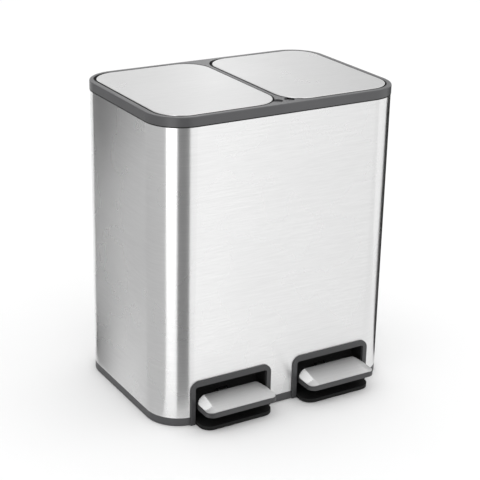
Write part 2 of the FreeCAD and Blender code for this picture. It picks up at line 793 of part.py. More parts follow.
def pedal_core_and_tread(side):
    """Plastic pedal body with a steel cover folded over its top."""
    front = "-pedal_front"
    back = "-pedal_back"
    tread_front = "(-pedal_front + 1.4)"
    tread_back = "(-pedal_back - 1.5)"
    # the inside of the steel cover
    inner = wedge("tread_inner", front + " - 2", back + " + 2", "pedal_bottom",
                  "tread_low - tread_metal - 0.42", "tread_high - tread_metal + 0.42",
                  "pedal_edge - 0.1", "tread_flat", "pedal_half + 2")
    inner_round = rounded_bends("tread_inner_round", inner, "tread_bend", "tread_flat")
    outer = wedge("tread_outer", front + " - 2", back + " + 2", "pedal_bottom + 2",
                  "tread_low - 0.42", "tread_high + 0.42",
                  "pedal_edge + tread_metal - 0.1", "tread_flat", "pedal_half + 2")
    outer_round = rounded_bends("tread_outer_round", outer, "tread_bend", "tread_flat")
    # body
    plan = plan_prism("pedal_plan", "pedal_half", front, back, "pedal_bottom", "tread_high + 3",
                      "pedal_radius")
    solid = common("pedal_solid", plan, inner_round)
    ridge = block("pedal_ridge", "2 * tread_flat + 2", "1.4", "tread_high - pedal_edge - 1", "0",
                  back + " - 0.7", "pedal_edge")
    cavities = []
    for across in (-1, 1):
        cavities.append(block("pedal_cavity", "36", "36", "3.6", "%d * 38" % across, "-160", "pedal_bottom"))
    slot = block("pedal_slot", "30", "40", "plate_high - plate_low", "0", "-156", "plate_low")
    screw_holes = [post("pedal_screw_hole", "3.4", "6.5", "%d * 9" % across, "-160", "pedal_bottom")
                   for across in (-1, 1)]
    tools = joined("pedal_tools", cavities + [slot] + screw_holes, keep=True)
    body = joined("pedal_body", [solid, ridge], keep=True)
    core = without(named("pedal_core", side), body, tools)
    place(core, x=pedal_x(side), y=SHIFT)
    # cover
    cover_plan = plan_prism("tread_plan", "tread_half", tread_front, tread_back, "pedal_edge - 2",
                            "tread_high + 4", "pedal_radius - 2")
    cover = common("tread_solid", cover_plan, outer_round)
    tread = without(named("pedal_tread", side), cover, inner_round)
    place(tread, x=pedal_x(side), y=SHIFT)


def pedal_screws(side):
    """Two pan-head screws from below, through the lever into the pedal body."""
    screws = []
    for across in (-1, 1):
        x = "%s + %d * 9" % (pedal_x(side), across)
        screws.append(post("shank", "3.4", "6", x, "-160", "pedal_bottom"))
        screws.append(post("head", "6.6", "1.6", x, "-160", "pedal_bottom - 1.6"))
    joined(named("pedal_screws", side), screws)


def pedal_lever(side):
    """Pressed steel channel that rocks on the axle, with a flat tongue inside the pedal."""
    body = new_body(named("pedal_lever", side), x=pedal_x(side))
    half = "lever_width / 2"
    rear = ROD_Y + " + 8"
    pad(body, "side", "-" + half, half, polygon([
        ("-119", "plate_high"), ("-104", "plate_high + 3"), ("-axle_front", "axle_height + 5.5"),
        (rear, "rod_low + 4.4"), (rear, "rod_low - 5"), ("-axle_front", "axle_height - 5.5"),
        ("-104", "plate_low - 4"), ("-119", "plate_low")]))
    # hollow from below, so that a web and two flanges are left
    beyond = rear + " + 1"
    pocket(body, "side", "-%s + lever_metal" % half, half + " - lever_metal", polygon([
        ("-120", "plate_low - 0.5"), ("-104", "plate_high + 3 - lever_metal"),
        ("-axle_front", "axle_height + 5.5 - lever_metal"), (beyond, "rod_low + 4.4 - lever_metal"),
        (beyond, "-3"), ("-120", "-3")]))
    pad(body, "top", "plate_low", "plate_high", box("-15", "-176", "15", "-117"))
    pocket(body, "side", "-" + half, half,
           circle("axle_diameter + 2 * running_gap", "-axle_front", "axle_height"))
    slack = "(rod_diameter / 2 + 0.8)"
    pocket(body, "side", "-" + half, half,
           box(ROD_Y + " - 3.2", "rod_low - " + slack, ROD_Y + " + 3.2", "rod_low + " + slack))
    pocket(body, "top", "plate_high", "plate_low", circle("3.4", "-9", "-160"), circle("3.4", "9", "-160"))


def pedal_axle(side):
    """Steel pin through the ears of the base; the lever rocks on it."""
    axle = bar("axle", "axle_diameter", "axle_length", pedal_x(side) + " - axle_length / 2",
               "-axle_front + " + SHIFT, "axle_height")
    axle.Label = named("pedal_axle", side)
    PIECES.append(axle)


def axle_clips():
    """Push-on rings at both ends of each axle."""
    rings = []
    for side in SIDES:
        for end in (-1, 1):
            middle = "%s + %d * (lever_width / 2 + 6.8)" % (pedal_x(side), end)
            disc = bar("ring", "10", "1.2", middle + " - 0.6", "-axle_front", "axle_height")
            hole = bar("ring_hole", "axle_diameter", "3", middle + " - 1.5", "-axle_front", "axle_height")
            rings.append(without("axle_ring", disc, hole, keep=True))
    joined("axle_clips", rings)


# ---------------------------------------------------------------- push rods


def push_rod(side):
    """Steel wire, hooked at both ends: up through the deck and into the slot of the lid's arm."""
    body = new_body(named("push_rod", side), x=pedal_x(side), y=ROD_Y)
    path = sketch_on(body, "front", "0", [])
    low = value_of("rod_low")
    high = value_of(ROD_HIGH)
    out = value_of("rod_offset")
    bend = value_of("rod_bend")
    tip_low = -value_of("hook_length")
    tip_high = tip_low + 3
    points = [
        (tip_low, low),
        (out - bend, low),
        (out, low + bend),
        (out, high - bend),
        (out - bend, high),
        (tip_high, high),
    ]
    vectors = [FreeCAD.Vector(x, z, 0) for x, z in points]
    up = FreeCAD.Vector(0, 0, 1)
    path.addGeometry(Part.LineSegment(vectors[0], vectors[1]))
    lower_bend = Part.Circle(FreeCAD.Vector(out - bend, low + bend, 0), up, bend)
    path.addGeometry(Part.ArcOfCircle(lower_bend, -math.pi / 2, 0))
    path.addGeometry(Part.LineSegment(vectors[2], vectors[3]))
    upper_bend = Part.Circle(FreeCAD.Vector(out - bend, high - bend, 0), up, bend)
    path.addGeometry(Part.ArcOfCircle(upper_bend, 0, math.pi / 2))
    path.addGeometry(Part.LineSegment(vectors[4], vectors[5]))
    for first, second in ((0, 1), (1, 2), (2, 3), (3, 4)):
        path.addConstraint(Sketcher.Constraint("Tangent", first, 2, second, 1))
    path.addConstraint(Sketcher.Constraint("Horizontal", 0))
    path.addConstraint(Sketcher.Constraint("Vertical", 2))
    path.addConstraint(Sketcher.Constraint("Horizontal", 4))
    constrain(path, "Radius", (1,), "rod_bend")
    constrain(path, "Radius", (3,), "rod_bend")
    pin_point(path, 0, 1, "-hook_length", "rod_low")
    pin_point(path, 4, 2, "-hook_length + 3", ROD_HIGH)
    constrain(path, "DistanceX", (-1, 1, 2, 1), "rod_offset")
    wire = sketch_on(body, "side", "-hook_length", [circle("rod_diameter", "0", "rod_low")])
    pipe = body.newObject("PartDesign::AdditivePipe", body.Label + "_pipe")
    pipe.Profile = wire
    pipe.Spine = path
    doc.recompute()


def rod_clips(side):
    """Push-on rings that keep the hooks in their slots."""
    rings = []
    places = [("-lever_width / 2 - 0.2 - clip_thick", "rod_low"), ("-2.3 - clip_thick", ROD_HIGH)]
    for start, height in places:
        x = "%s + %s" % (pedal_x(side), start)
        disc = bar("ring", "clip_diameter", "clip_thick", x, ROD_Y, height)
        hole = bar("ring_hole", "rod_diameter", "clip_thick + 2", x + " - 1", ROD_Y, height)
        rings.append(without("rod_ring", disc, hole, keep=True))
    joined(named("rod_clips", side), rings)


def rod_channel(side):
    """Thin channel against the back wall that keeps the bucket off the push rod."""
    body = new_body(named("rod_channel", side), x=pedal_x(side))
    half = "channel_width / 2"
    pad(body, "top", "deck_top", "channel_top", polygon([
        ("-" + half, "channel_front"),
        (half, "channel_front"),
        (half, "channel_back"),
        (half + " - channel_wall", "channel_back"),
        (half + " - channel_wall", "channel_front + channel_wall"),
        ("-%s + channel_wall" % half, "channel_front + channel_wall"),
        ("-%s + channel_wall" % half, "channel_back"),
        ("-" + half, "channel_back")]))


# ---------------------------------------------------------------- buckets


def loft_between(body, kind, low, high, outline_low, outline_high, y_low, y_high):
    """Tapered solid or hollow between two outlines."""
    first = sketch_on(body, "top", low, [outline_low], y=y_low)
    second = sketch_on(body, "top", high, [outline_high], y=y_high)
    feature = body.newObject(kind, body.Label + "_loft")
    feature.Profile = first
    feature.Sections = [second]
    feature.Ruled = True
    doc.recompute()
    return feature


def bucket(side):
    """Removable plastic bucket: tapered, with a turned-down rim and two ears for its bail."""
    body = new_body(named("bucket", side), x=lid_x(side), y="-bucket_back")
    shift = "1.8"
    wall = "2 * bucket_wall"
    loft_between(body, "PartDesign::AdditiveLoft", "deck_top", "bucket_top",
                 rounded_box("bucket_bottom_width", "bucket_bottom_depth", "30"),
                 rounded_box("bucket_top_width", "bucket_top_depth", "34"), shift, "0")
    loft_between(body, "PartDesign::SubtractiveLoft", "deck_top + 2.2", "bucket_top",
                 rounded_box("bucket_bottom_width - " + wall, "bucket_bottom_depth - " + wall, "28.2"),
                 rounded_box("bucket_top_width - " + wall, "bucket_top_depth - " + wall, "32.2"), shift, "0")
    pad(body, "top", "bucket_top", "bucket_top + flange_thick",
        rounded_box("flange_width", "flange_depth", "40"),
        rounded_box("bucket_top_width - " + wall, "bucket_top_depth - " + wall, "32.2"))
    pad(body, "top", "bucket_top - 7", "bucket_top + 0.5",
        rounded_box("flange_width", "flange_depth", "40"),
        rounded_box("flange_width - 3.6", "flange_depth - 3.6", "38.2"))
    for across in (-1, 1):
        inner = "%d * (flange_width / 2 - 4.8)" % across
        outer = "%d * (flange_width / 2 - 2)" % across
        pad(body, "top", "bucket_top + 2", "bucket_top + 10", box(inner, "-7", outer, "7"))
        pocket(body, "side", "%s - %d" % (inner, across), "%s + %d" % (outer, across),
               circle("bail_pin + 0.2", "0", "bucket_top + 5.2"))


def bucket_handle(side):
    """Plastic bail that lies on the bucket's rim, with a stub at each end in the bucket's ears."""
    body = new_body(named("bucket_handle", side), x=lid_x(side), y="-bucket_back")
    width = "(flange_width - 10.4)"
    depth = "(flange_depth - 10.4)"
    pad(body, "top", "bucket_top + flange_thick + 0.4", "bucket_top + flange_thick + 4.9",
        rounded_box(width, depth, "34.8"), rounded_box(width + " - 13", depth + " - 13", "28.3"))
    pocket(body, "top", "bucket_top + flange_thick + 5", "bucket_top + flange_thick",
           box("-120", "5", "120", "140"))
    for across in (-1, 1):
        pad(body, "side", "%d * (%s / 2 - 1)" % (across, width), "%d * (flange_width / 2 - 2.6)" % across,
            circle("bail_pin", "0", "bucket_top + 5.2"))


# ---------------------------------------------------------------- the whole bin

outer_shell()
top_rim()
lid_bumpers()
base()
rubber_feet()
axle_clips()
for hand in SIDES:
    lid_panel(hand)
    lid_core(hand)
    hinge_pin(hand)
    hinge_clip(hand)
    pedal_surround(hand)
    pedal_core_and_tread(hand)
    pedal_screws(hand)
    pedal_lever(hand)
    pedal_axle(hand)
    push_rod(hand)
    rod_clips(hand)
    rod_channel(hand)
    bucket(hand)
    bucket_handle(hand)
doc.recompute()

for item in doc.Objects:
    if "Invalid" in item.State or "Error" in item.State:
        raise ValueError("%s did not compute: %s" % (item.Label, item.State))
for piece in PIECES:
    if piece.Shape.isNull() or not piece.Shape.isValid() or not piece.Shape.Solids:
        raise ValueError("%s has no sound shape" % piece.Label)

os.makedirs("parts", exist_ok=True)
for piece in PIECES:
    piece.Shape.exportStep(os.path.join("parts", piece.Label + ".step"))
    print("%-24s %d solids  %.1f cm3"
          % (piece.Label, len(piece.Shape.Solids), piece.Shape.Volume / 1000))
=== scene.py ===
import math

import bpy
from mathutils import Matrix, Vector


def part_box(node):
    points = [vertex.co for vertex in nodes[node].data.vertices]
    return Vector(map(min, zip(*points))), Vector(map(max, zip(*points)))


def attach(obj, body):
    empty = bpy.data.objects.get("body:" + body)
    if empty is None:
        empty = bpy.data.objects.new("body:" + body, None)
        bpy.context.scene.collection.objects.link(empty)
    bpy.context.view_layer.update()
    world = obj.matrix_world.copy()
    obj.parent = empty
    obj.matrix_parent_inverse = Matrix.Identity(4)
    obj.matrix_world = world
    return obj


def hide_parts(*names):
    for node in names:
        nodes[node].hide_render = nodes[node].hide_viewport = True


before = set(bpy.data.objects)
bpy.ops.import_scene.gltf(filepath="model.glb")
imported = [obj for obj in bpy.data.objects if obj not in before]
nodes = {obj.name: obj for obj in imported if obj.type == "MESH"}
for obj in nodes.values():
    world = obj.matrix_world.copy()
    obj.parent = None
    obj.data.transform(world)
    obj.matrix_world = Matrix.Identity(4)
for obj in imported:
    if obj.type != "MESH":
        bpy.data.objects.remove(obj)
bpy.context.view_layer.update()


# ---- Steel shell
# One sheet of stainless steel, brushed round its girth and rolled into a tube.
# Its ends lap at the middle of the back, where a row of spot welds holds them.

def brushed_steel(name, tint, lines_per_metre, polish, grain=0.93, metallic=1.0):
    """Stainless steel drawn over an abrasive belt.

    The lines are given per metre along each axis, and grain is how far they stretch the gloss.
    """
    line_depth = 0.000002
    steel = bpy.data.materials.new(name)
    steel.use_nodes = True
    tree = steel.node_tree
    link = tree.links.new
    metal = tree.nodes["Principled BSDF"]
    metal.inputs["Metallic"].default_value = metallic
    metal.inputs["Anisotropic"].default_value = grain
    place = tree.nodes.new("ShaderNodeTexCoord")
    layers = []
    for fineness, detail in ((1.0, 2.0), (0.4, 3.0)):
        stretch = tree.nodes.new("ShaderNodeMapping")
        stretch.inputs["Scale"].default_value = [lines * fineness for lines in lines_per_metre]
        link(place.outputs["Object"], stretch.inputs["Vector"])
        lines_noise = tree.nodes.new("ShaderNodeTexNoise")
        lines_noise.inputs["Scale"].default_value = 1.0
        lines_noise.inputs["Detail"].default_value = detail
        link(stretch.outputs["Vector"], lines_noise.inputs["Vector"])
        layers.append(lines_noise)
    handling = tree.nodes.new("ShaderNodeTexNoise")
    handling.inputs["Scale"].default_value = 9.0
    handling.inputs["Detail"].default_value = 4.0
    link(place.outputs["Object"], handling.inputs["Vector"])
    both = tree.nodes.new("ShaderNodeMath")
    both.operation = "ADD"
    link(layers[0].outputs["Fac"], both.inputs[0])
    link(layers[1].outputs["Fac"], both.inputs[1])
    shade = tree.nodes.new("ShaderNodeMapRange")
    shade.inputs["From Min"].default_value = 0.7
    shade.inputs["From Max"].default_value = 1.3
    link(both.outputs["Value"], shade.inputs["Value"])
    colour = tree.nodes.new("ShaderNodeMix")
    colour.data_type = "RGBA"
    colour.inputs["A"].default_value = (*[part * 0.97 for part in tint], 1)
    colour.inputs["B"].default_value = (*[min(part * 1.03, 1.0) for part in tint], 1)
    link(shade.outputs["Result"], colour.inputs["Factor"])
    link(colour.outputs["Result"], metal.inputs["Base Color"])
    rough = tree.nodes.new("ShaderNodeMapRange")
    rough.inputs["From Min"].default_value = 0.3
    rough.inputs["From Max"].default_value = 0.7
    rough.inputs["To Min"].default_value = polish - 0.03
    rough.inputs["To Max"].default_value = polish + 0.04
    link(handling.outputs["Fac"], rough.inputs["Value"])
    link(rough.outputs["Result"], metal.inputs["Roughness"])
    grooves = tree.nodes.new("ShaderNodeBump")
    grooves.inputs["Strength"].default_value = 0.12
    grooves.inputs["Distance"].default_value = line_depth
    link(layers[0].outputs["Fac"], grooves.inputs["Height"])
    link(grooves.outputs["Normal"], metal.inputs["Normal"])
    return steel


def drawn_round(steel, axis, turn):
    """Lay the lines of a sheet round this axis, with the gloss turned by this share of a full turn."""
    tangent = steel.node_tree.nodes.new("ShaderNodeTangent")
    tangent.direction_type = "RADIAL"
    tangent.axis = axis
    metal = steel.node_tree.nodes["Principled BSDF"]
    metal.inputs["Anisotropic Rotation"].default_value = turn
    steel.node_tree.links.new(tangent.outputs["Tangent"], metal.inputs["Tangent"])


def dress(finish, *names):
    """Give solid pieces their finish."""
    for name in names:
        piece = nodes[name]
        piece.data.materials.clear()
        piece.data.materials.append(finish)


lines_round_girth = (45.0, 45.0, 900.0)
shell_steel = brushed_steel("shell_steel", (0.80, 0.80, 0.80), lines_round_girth, 0.27)
drawn_round(shell_steel, "Z", 0.25)
dress(shell_steel, "outer_shell")


def turned(name, profile, sides):
    """A closed mesh turned round Z from (radius, height) points that run from axis to axis, lowest first."""
    points = [(0.0, 0.0, profile[0][1])]
    for radius, level in profile[1:-1]:
        for step in range(sides):
            angle = 2 * math.pi * step / sides
            points.append((radius * math.cos(angle), radius * math.sin(angle), level))
    points.append((0.0, 0.0, profile[-1][1]))
    top = len(points) - 1
    faces = []
    for step in range(sides):
        after = (step + 1) % sides
        faces.append((0, 1 + after, 1 + step))
        for ring in range(len(profile) - 3):
            under = 1 + ring * sides
            over = under + sides
            faces.append((under + step, under + after, over + after, over + step))
        faces.append((top, top - sides + step, top - sides + after))
    mesh = bpy.data.meshes.new(name)
    mesh.from_pydata(points, [], faces)
    return mesh


def row_of(name, mesh, start, step, count, finish):
    """A straight row of one mesh, made by nodes and kept as a plain mesh."""
    row = bpy.data.objects.new(name, mesh)
    bpy.context.scene.collection.objects.link(row)
    group = bpy.data.node_groups.new(name, "GeometryNodeTree")
    group.interface.new_socket("Geometry", in_out="OUTPUT", socket_type="NodeSocketGeometry")
    group.interface.new_socket("Geometry", in_out="INPUT", socket_type="NodeSocketGeometry")
    wanted = (("Start", "Vector", start), ("Step", "Vector", step), ("Count", "Int", count),
              ("Finish", "Material", finish))
    settings = {}
    for label, kind, value in wanted:
        socket = group.interface.new_socket(label, in_out="INPUT", socket_type="NodeSocket" + kind)
        settings[socket.identifier] = value
    link = group.links.new
    given = group.nodes.new("NodeGroupInput")
    result = group.nodes.new("NodeGroupOutput")
    line = group.nodes.new("GeometryNodeMeshLine")
    line.mode = "OFFSET"
    copies = group.nodes.new("GeometryNodeInstanceOnPoints")
    real = group.nodes.new("GeometryNodeRealizeInstances")
    coat = group.nodes.new("GeometryNodeSetMaterial")
    link(given.outputs["Count"], line.inputs["Count"])
    link(given.outputs["Start"], line.inputs["Start Location"])
    link(given.outputs["Step"], line.inputs["Offset"])
    link(line.outputs["Mesh"], copies.inputs["Points"])
    link(given.outputs["Geometry"], copies.inputs["Instance"])
    link(copies.outputs["Instances"], real.inputs["Geometry"])
    link(real.outputs["Geometry"], coat.inputs["Geometry"])
    link(given.outputs["Finish"], coat.inputs["Material"])
    link(coat.outputs["Geometry"], result.inputs["Geometry"])
    maker = row.modifiers.new(name, "NODES")
    maker.node_group = group
    for identifier, value in settings.items():
        maker[identifier] = value
    bpy.context.view_layer.update()
    graph = bpy.context.evaluated_depsgraph_get()
    row.data = bpy.data.meshes.new_from_object(row.evaluated_get(graph), depsgraph=graph)
    row.modifiers.remove(maker)
    return row


# each weld is a shallow dome that stands out of the sheet beside the edge of the lap
weld_radius = 0.0019
weld_root = 0.0003
weld_profile = [(0, -weld_root), (weld_radius, -weld_root), (weld_radius, 0.0),
                (0.0015, 0.00007), (0.0008, 0.00012), (0, 0.00013)]
beside_lap = -0.0038
first_weld = 0.018
weld_pitch = 0.0384
weld_count = 12
low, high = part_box("outer_shell")
dome = turned("weld", weld_profile, 24)
dome.transform(Matrix.Rotation(math.radians(-90), 4, "X"))
weld_steel = brushed_steel("weld_steel", (0.42, 0.40, 0.38), lines_round_girth, 0.36)
lowest_weld = (beside_lap, high.y, low.z + first_weld)
seam_welds = row_of("seam_welds", dome, lowest_weld, (0, 0, weld_pitch), weld_count, weld_steel)
for face in seam_welds.data.polygons:
    face.use_smooth = True
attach(seam_welds, "root")


# ---- Top rim
# A dark grey moulding in satin plastic that carries both lids.
# Its outer wall sits over the cut edge of the shell, with a thin black band under it: painted shade for the
# shadow in the gap.

def moulded_plastic(name, tint, sheen, gloss=0.45, grain_size=1800.0, grain_depth=0.00003):
    """Injection-moulded plastic with a fine spark-eroded grain and a little unevenness of sheen."""
    plastic = bpy.data.materials.new(name)
    plastic.use_nodes = True
    tree = plastic.node_tree
    link = tree.links.new
    body = tree.nodes["Principled BSDF"]
    body.inputs["IOR"].default_value = 1.5
    body.inputs["Specular IOR Level"].default_value = gloss
    place = tree.nodes.new("ShaderNodeTexCoord")
    grain = tree.nodes.new("ShaderNodeTexNoise")
    grain.inputs["Scale"].default_value = grain_size
    grain.inputs["Detail"].default_value = 2.0
    flow = tree.nodes.new("ShaderNodeTexNoise")
    flow.inputs["Scale"].default_value = 14.0
    flow.inputs["Detail"].default_value = 5.0
    link(place.outputs["Object"], grain.inputs["Vector"])
    link(place.outputs["Object"], flow.inputs["Vector"])
    colour = tree.nodes.new("ShaderNodeMix")
    colour.data_type = "RGBA"
    colour.inputs["A"].default_value = (*[part * 0.85 for part in tint], 1)
    colour.inputs["B"].default_value = (*[part * 1.15 for part in tint], 1)
    link(flow.outputs["Fac"], colour.inputs["Factor"])
    link(colour.outputs["Result"], body.inputs["Base Color"])
    rough = tree.nodes.new("ShaderNodeMapRange")
    rough.inputs["From Min"].default_value = 0.3
    rough.inputs["From Max"].default_value = 0.7
    rough.inputs["To Min"].default_value = sheen - 0.05
    rough.inputs["To Max"].default_value = sheen + 0.06
    link(flow.outputs["Fac"], rough.inputs["Value"])
    link(rough.outputs["Result"], body.inputs["Roughness"])
    bump = tree.nodes.new("ShaderNodeBump")
    bump.inputs["Strength"].default_value = 0.35
    bump.inputs["Distance"].default_value = grain_depth
    link(grain.outputs["Fac"], bump.inputs["Height"])
    link(bump.outputs["Normal"], body.inputs["Normal"])
    return plastic


rim_plastic = moulded_plastic("rim_plastic", (0.072, 0.072, 0.075), 0.36)
dress(rim_plastic, "top_rim")

# a near-black band of painted shade goes round the shell under the rim's wall, with a rounded outer side,
# drawn as (outward, upward) points
shadow_band_section = [(0.00002, -0.0017), (0.00028, -0.0015), (0.0004, -0.0011), (0.00042, -0.0001),
               (0.00002, -0.0001)]
shell_corner = 0.0545
corner_steps = 16
low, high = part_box("outer_shell")
middle = (low + high) / 2
half_across = (high.x - low.x) / 2 - shell_corner
half_deep = (high.y - low.y) / 2 - shell_corner
shadow_band_points = []
for quarter, (across, back) in enumerate(((1, 1), (-1, 1), (-1, -1), (1, -1))):
    centre = Vector((middle.x + across * half_across, middle.y + back * half_deep, high.z))
    for step in range(corner_steps + 1):
        angle = math.radians(90 * quarter + 90 * step / corner_steps)
        outward = Vector((math.cos(angle), math.sin(angle), 0))
        for out, up in shadow_band_section:
            shadow_band_points.append(centre + outward * (shell_corner + out) + Vector((0, 0, up)))
sides = len(shadow_band_section)
rings = len(shadow_band_points) // sides
shadow_band_faces = []
for ring in range(rings):
    here = ring * sides
    ahead = (ring + 1) % rings * sides
    for side in range(sides):
        beside = (side + 1) % sides
        shadow_band_faces.append((here + side, ahead + side, ahead + beside, here + beside))
shadow_band_mesh = bpy.data.meshes.new("rim_shadow_band")
shadow_band_mesh.from_pydata(shadow_band_points, [], shadow_band_faces)
shadow_band_mesh.materials.append(moulded_plastic("rim_shadow_black", (0.01, 0.01, 0.01), 0.7, gloss=0.1))
rim_shadow_band = bpy.data.objects.new("rim_shadow_band", shadow_band_mesh)
bpy.context.scene.collection.objects.link(rim_shadow_band)
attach(rim_shadow_band, "root")


# ---- Lids
# Each lid is a brushed steel skin over a black moulded core.
# The core carries the knuckles, the steel pin with its clips, and the arm for the push rod.

lines_side_to_side = (45.0, 900.0, 900.0)
lid_steel = brushed_steel("lid_steel", (0.67, 0.67, 0.67), lines_side_to_side, 0.30)
drawn_round(lid_steel, "X", 0.0)
dress(lid_steel, "lid_panel_left", "lid_panel_right")
core_plastic = moulded_plastic("core_plastic", (0.035, 0.035, 0.037), 0.5)
dress(core_plastic, "lid_core_left", "lid_core_right")

# the upright edge faces of each skin are painted near black: painted shade that draws the dark gap line round
# the lid
lid_edge_shade = moulded_plastic("lid_edge_shade", (0.012, 0.012, 0.012), 0.6, gloss=0.1)
steepest_flat = 0.3
for name in ("lid_panel_left", "lid_panel_right"):
    skin = nodes[name].data
    skin.materials.append(lid_edge_shade)
    for face in skin.polygons:
        if abs(face.normal.z) < steepest_flat:
            face.material_index = 1


def plated_steel(name, tint, polish):
    """Steel with a thin plated or blackened finish, slightly cloudy."""
    steel = bpy.data.materials.new(name)
    steel.use_nodes = True
    tree = steel.node_tree
    link = tree.links.new
    metal = tree.nodes["Principled BSDF"]
    metal.inputs["Metallic"].default_value = 1.0
    place = tree.nodes.new("ShaderNodeTexCoord")
    cloud = tree.nodes.new("ShaderNodeTexNoise")
    cloud.inputs["Scale"].default_value = 160.0
    cloud.inputs["Detail"].default_value = 5.0
    link(place.outputs["Object"], cloud.inputs["Vector"])
    colour = tree.nodes.new("ShaderNodeMix")
    colour.data_type = "RGBA"
    colour.inputs["A"].default_value = (*[part * 0.75 for part in tint], 1)
    colour.inputs["B"].default_value = (*[min(part * 1.15, 1.0) for part in tint], 1)
    link(cloud.outputs["Fac"], colour.inputs["Factor"])
    link(colour.outputs["Result"], metal.inputs["Base Color"])
    rough = tree.nodes.new("ShaderNodeMapRange")
    rough.inputs["To Min"].default_value = polish - 0.08
    rough.inputs["To Max"].default_value = polish + 0.12
    link(cloud.outputs["Fac"], rough.inputs["Value"])
    link(rough.outputs["Result"], metal.inputs["Roughness"])
    return steel


zinc_plate = plated_steel("zinc_plate", (0.62, 0.62, 0.60), 0.35)
spring_steel = plated_steel("spring_steel", (0.22, 0.22, 0.23), 0.4)
dress(zinc_plate, "hinge_pin_left", "hinge_pin_right")
dress(spring_steel, "hinge_clip_left", "hinge_clip_right")
soft_rubber = moulded_plastic("soft_rubber", (0.02, 0.02, 0.02), 0.75, grain_size=900.0, grain_depth=0.00005)
dress(soft_rubber, "lid_bumpers")


# ---- Base and feet
# A dark moulding: a ring flush with the steel, a raised deck and two floor tongues.
# Rubber pads under the corners and the tongues keep it from sliding.

base_plastic = moulded_plastic("base_plastic", (0.06, 0.06, 0.063), 0.45)
dress(base_plastic, "base")
dress(soft_rubber, "rubber_feet")

# the bays and the tongues under the pedals are rougher than the ring and painted blacker: painted shade for
# the recesses and for the shadow under the pedals
pedal_bay_shade = moulded_plastic("pedal_bay_shade", (0.014, 0.014, 0.014), 0.6, gloss=0.12)
nodes["base"].data.materials.append(pedal_bay_shade)
bay_middle = 0.091
bay_half_width = 0.0636
bay_depth = 0.034
bay_floor = 0.0065
bay_top = 0.066
wall_skin = 0.0005
front_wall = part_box("outer_shell")[0].y
for face in nodes["base"].data.polygons:
    x, y, z = face.center
    behind = y - front_wall
    beside_middle = abs(abs(x) - bay_middle)
    in_bay = beside_middle < bay_half_width and wall_skin < behind < bay_depth and bay_floor < z < bay_top
    if in_bay or behind < -wall_skin:
        face.material_index = 1


# ---- Pedals
# A moulded body under a folded steel cover, screwed onto a pressed steel lever.
# An arched frame trims the opening that each one comes out of.

trim_plastic = moulded_plastic("trim_plastic", (0.044, 0.044, 0.046), 0.4)
dress(trim_plastic, "pedal_surround_left", "pedal_surround_right")
pedal_plastic = moulded_plastic("pedal_plastic", (0.044, 0.044, 0.046), 0.42)
dress(pedal_plastic, "pedal_core_left", "pedal_core_right")

# the lines of the cover run from side to side over its folds too, so its gloss lies front to back all over
tread_steel = brushed_steel("tread_steel", (0.70, 0.70, 0.70), lines_side_to_side, 0.33)
tree = tread_steel.node_tree
front_to_back = tree.nodes.new("ShaderNodeCombineXYZ")
front_to_back.inputs["Y"].default_value = 1.0
with_pedal = tree.nodes.new("ShaderNodeVectorTransform")
with_pedal.vector_type = "VECTOR"
with_pedal.convert_from = "OBJECT"
with_pedal.convert_to = "WORLD"
tree.links.new(front_to_back.outputs["Vector"], with_pedal.inputs["Vector"])
tree.links.new(with_pedal.outputs["Vector"], tree.nodes["Principled BSDF"].inputs["Tangent"])
dress(tread_steel, "pedal_tread_left", "pedal_tread_right")

# the sloping ends of the cover are blasted matt; the left-facing ones are painted paler than the right-facing
# ones, painted light on the ends that lean toward the light
lit_fold = brushed_steel("lit_fold", (0.97, 0.97, 0.97), lines_side_to_side, 0.62, grain=0.0, metallic=0.35)
shaded_fold = brushed_steel("shaded_fold", (0.72, 0.72, 0.72), lines_side_to_side, 0.6, grain=0.0)
fold_lean = 0.25
fold_rise = 0.2
for name in ("pedal_tread_left", "pedal_tread_right"):
    cover = nodes[name].data
    cover.materials.append(lit_fold)
    cover.materials.append(shaded_fold)
    for face in cover.polygons:
        if abs(face.normal.x) > fold_lean and face.normal.z > fold_rise:
            face.material_index = 1 if face.normal.x < 0 else 2

dress(zinc_plate, "pedal_lever_left", "pedal_lever_right", "pedal_axle_left", "pedal_axle_right")
dress(spring_steel, "axle_clips")

# two pan-head screws hold each pedal from below
low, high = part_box("pedal_screws_left")
screw_length = high.z - low.z
head_radius = 0.0033
head_height = 0.0016
shank_radius = 0.0017
screw_profile = [(0, 0), (0.0021, 0.00005), (0.0028, 0.00035), (head_radius, 0.0010),
                 (head_radius, head_height), (shank_radius, head_height),
                 (shank_radius, screw_length - 0.0008), (0.0009, screw_length), (0, screw_length)]
blank = bpy.data.objects.new("screw_blank", turned("screw", screw_profile, 32))
bpy.context.scene.collection.objects.link(blank)

# each arm of the cross recess is cut by a block that narrows to half its size at the bottom of the recess
recess_below = -0.001
recess_depth = 0.0011
arm_half_length = 0.0019
arm_half_width = 0.0005
block_corners = [(-1, -1), (1, -1), (1, 1), (-1, 1)]
block_faces = [(3, 2, 1, 0), (4, 5, 6, 7), (0, 1, 5, 4), (1, 2, 6, 5), (2, 3, 7, 6), (3, 0, 4, 7)]
for half_x, half_y in ((arm_half_length, arm_half_width), (arm_half_width, arm_half_length)):
    wide_end = [(x * half_x, y * half_y, recess_below) for x, y in block_corners]
    narrow_end = [(x * half_x * 0.5, y * half_y * 0.5, recess_depth) for x, y in block_corners]
    block = bpy.data.meshes.new("recess")
    block.from_pydata(wide_end + narrow_end, [], block_faces)
    cutter = bpy.data.objects.new("recess", block)
    bpy.context.scene.collection.objects.link(cutter)
    cut = blank.modifiers.new("recess", "BOOLEAN")
    cut.object = cutter
    bpy.context.view_layer.update()
    graph = bpy.context.evaluated_depsgraph_get()
    blank.data = bpy.data.meshes.new_from_object(blank.evaluated_get(graph), depsgraph=graph)
    blank.modifiers.remove(cut)
    bpy.data.objects.remove(cutter)
screw = blank.data
bpy.data.objects.remove(blank)

